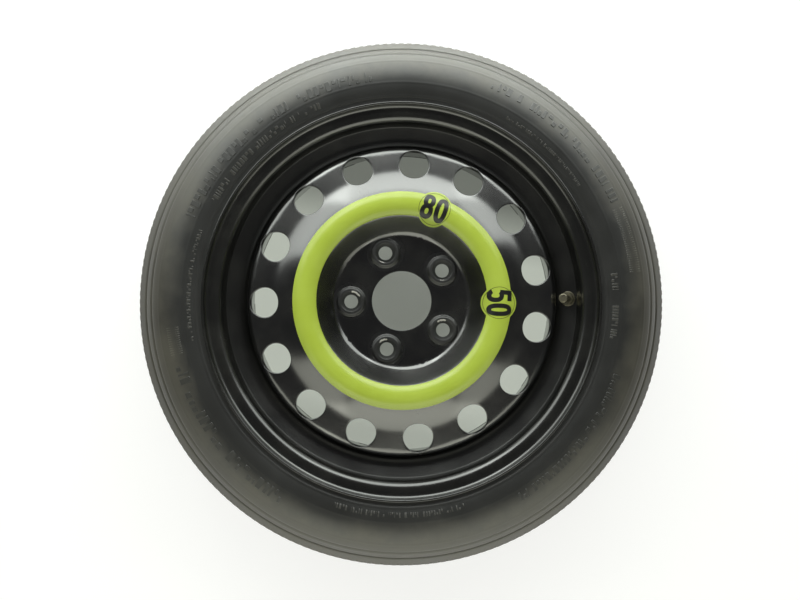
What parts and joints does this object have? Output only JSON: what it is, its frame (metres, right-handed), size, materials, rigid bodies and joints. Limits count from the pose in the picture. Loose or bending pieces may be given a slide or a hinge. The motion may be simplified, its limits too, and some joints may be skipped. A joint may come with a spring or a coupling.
{
  "type": "spare wheel",
  "caption": "Temporary spare wheel: narrow tyre on a black pressed steel wheel with round vents, a lime speed ring with number tabs and a metal valve.",
  "frame": {"origin": "centre of the hub mounting face on the wheel axis", "axes": "+Z along the wheel axis out of the visible face, +X towards the valve; the wheel lies on its inner sidewall"},
  "size_m": [0.6016, 0.6016, 0.125],
  "materials": {
    "tyre_rubber": "satin",
    "black_paint": "gloss",
    "lime_film": "satin",
    "plated_brass": "polished",
    "brass": "satin",
    "seal_rubber": "matte"
  },
  "bodies": {
    "wheel": {"tyre": "tyre_rubber", "rim": "black_paint", "wheel_disc": "black_paint", "weld_beads": "black_paint", "speed_ring": "lime_film", "valve_stem": "plated_brass", "valve_grommet": "seal_rubber", "valve_washer": "plated_brass", "valve_nut": "plated_brass", "valve_core": "brass", "core_seal": "seal_rubber"},
    "pin": {"valve_pin": "brass"},
    "cap_seal": {"cap_seal": "seal_rubber"},
    "cap": {"valve_cap": "plated_brass"}
  },
  "joints": [
    {"name": "pin_press", "type": "slide", "parent": "wheel", "child": "pin", "axis": [0.409, 0, -0.9125], "range_m": [0, 0.0012], "stiffness_N_per_m": 400},
    {"name": "cap_lift", "type": "slide", "parent": "wheel", "child": "cap_seal", "axis": [-0.409, 0, 0.9125], "range_m": [0, 0.00715]},
    {"name": "cap_turn", "type": "hinge", "parent": "cap_seal", "child": "cap", "pos_m": [0.19033, 0, -0.00583], "axis": [-0.409, 0, 0.9125], "range_deg": [0, 3241]}
  ],
  "couplings": [
    {"joint": "cap_turn", "follows": "cap_lift", "rad_per_m": 7913.3}
  ]
}
